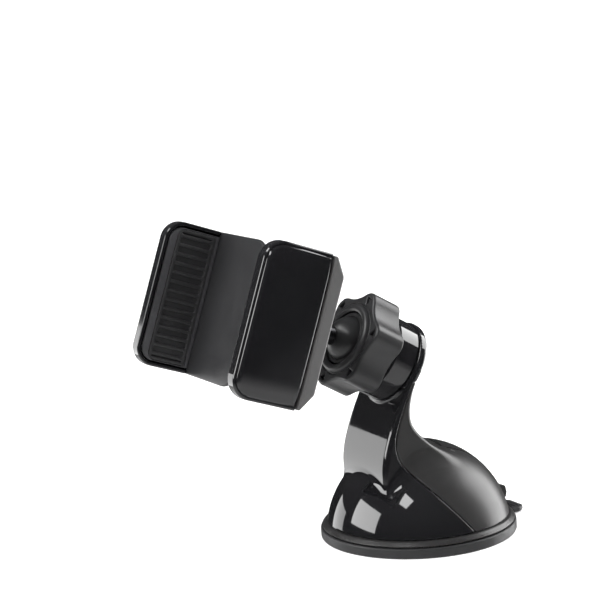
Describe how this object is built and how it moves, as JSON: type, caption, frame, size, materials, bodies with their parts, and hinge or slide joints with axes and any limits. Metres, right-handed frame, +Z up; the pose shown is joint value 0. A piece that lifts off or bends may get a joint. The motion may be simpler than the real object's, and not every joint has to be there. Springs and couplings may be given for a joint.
{
  "type": "car phone mount",
  "caption": "Car phone mount: suction base with lock lever, curved arm, ball socket with clamp nut, and a cradle with two padded jaws.",
  "frame": {"origin": "centre of the suction cup's underside", "axes": "+Z up out of the cup, -Y the side that the phone faces, +X to the right for a person looking at the phone"},
  "size_m": [0.084, 0.1336, 0.1184],
  "materials": {
    "soft_rubber": "satin, lightly textured",
    "satin_plastic": "satin, fine grain",
    "gloss_plastic": "high gloss",
    "grey_plastic": "satin",
    "dark_steel": "blackened, fine brushed",
    "zinc_steel": "zinc plated"
  },
  "bodies": {
    "base": {"suction_cup": "soft_rubber", "base_frame": "satin_plastic", "return_spring": "zinc_steel", "front_shell": "gloss_plastic", "rear_cover": "satin_plastic", "lever_pin": "zinc_steel", "shell_screws": "zinc_steel", "socket_boss": "gloss_plastic", "boss_screw": "zinc_steel"},
    "lever": {"lock_lever": "satin_plastic"},
    "stud": {"cup_stud": "zinc_steel"},
    "clamp_ring": {"clamp_collet": "satin_plastic"},
    "nut": {"clamp_nut": "satin_plastic"},
    "ball_inner": {"ball_core": "zinc_steel"},
    "ball_outer": {"ball_shell": "satin_plastic"},
    "cradle": {"ball_stem": "dark_steel", "cradle_housing": "satin_plastic", "housing_cover": "satin_plastic", "housing_screws": "zinc_steel", "stem_pin": "zinc_steel", "pinion_pin": "zinc_steel", "left_jaw_spring": "zinc_steel", "right_jaw_spring": "zinc_steel"},
    "left_jaw": {"left_jaw_shell": "gloss_plastic", "left_jaw_cover": "gloss_plastic", "left_jaw_trim": "satin_plastic", "left_pad_frame": "grey_plastic", "left_grip_pad": "soft_rubber", "left_slide_plate": "satin_plastic", "left_rack": "grey_plastic"},
    "right_jaw": {"right_jaw_shell": "gloss_plastic", "right_jaw_cover": "gloss_plastic", "right_jaw_trim": "satin_plastic", "right_pad_frame": "grey_plastic", "right_grip_pad": "soft_rubber", "right_slide_plate": "satin_plastic", "right_rack": "grey_plastic"},
    "pinion": {"pinion": "grey_plastic"}
  },
  "joints": [
    {"name": "lever_hinge", "type": "hinge", "parent": "base", "child": "lever", "pos_m": [0, 0.0086, 0.0292], "axis": [1, 0, 0], "range_deg": [0, 60]},
    {"name": "stud_travel", "type": "slide", "parent": "base", "child": "stud", "axis": [0, 0, 1], "range_m": [-0.002, 0]},
    {"name": "clamp_travel", "type": "slide", "parent": "base", "child": "clamp_ring", "axis": [0, -0.8572, 0.515], "range_m": [0, 0.001]},
    {"name": "nut_turn", "type": "hinge", "parent": "clamp_ring", "child": "nut", "pos_m": [0, -0.0207, 0.0719], "axis": [0, -0.8572, 0.515], "range_deg": [0, 180]},
    {"name": "ball_tilt", "type": "hinge", "parent": "base", "child": "ball_inner", "pos_m": [0, -0.02413, 0.07396], "axis": [1, 0, 0], "range_deg": [-40, 25]},
    {"name": "ball_pan", "type": "hinge", "parent": "ball_inner", "child": "ball_outer", "pos_m": [0, -0.02413, 0.07396], "axis": [0, 0.3486, 0.9373], "range_deg": [-30, 30]},
    {"name": "cradle_roll", "type": "hinge", "parent": "ball_outer", "child": "cradle", "pos_m": [0, -0.02413, 0.07396], "axis": [0, -0.9373, 0.3486], "continuous": true},
    {"name": "right_jaw_slide", "type": "slide", "parent": "cradle", "child": "right_jaw", "axis": [1, 0, 0], "range_m": [0, 0.009], "stiffness_N_per_m": 300, "springref_m": -0.01, "deforming": ["right_jaw_spring"]},
    {"name": "left_jaw_slide", "type": "slide", "parent": "cradle", "child": "left_jaw", "axis": [1, 0, 0], "range_m": [-0.009, 0], "deforming": ["left_jaw_spring"]},
    {"name": "pinion_turn", "type": "hinge", "parent": "cradle", "child": "pinion", "pos_m": [0, -0.05731, 0.0863], "axis": [0, 0.9373, -0.3486], "range_deg": [-105, 0]}
  ],
  "couplings": [
    {"joint": "stud_travel", "follows": "lever_hinge", "m_per_rad": -0.0019099},
    {"joint": "clamp_travel", "follows": "nut_turn", "m_per_rad": 0.00031831},
    {"joint": "left_jaw_slide", "follows": "right_jaw_slide", "ratio": -1},
    {"joint": "pinion_turn", "follows": "right_jaw_slide", "rad_per_m": -200}
  ]
}
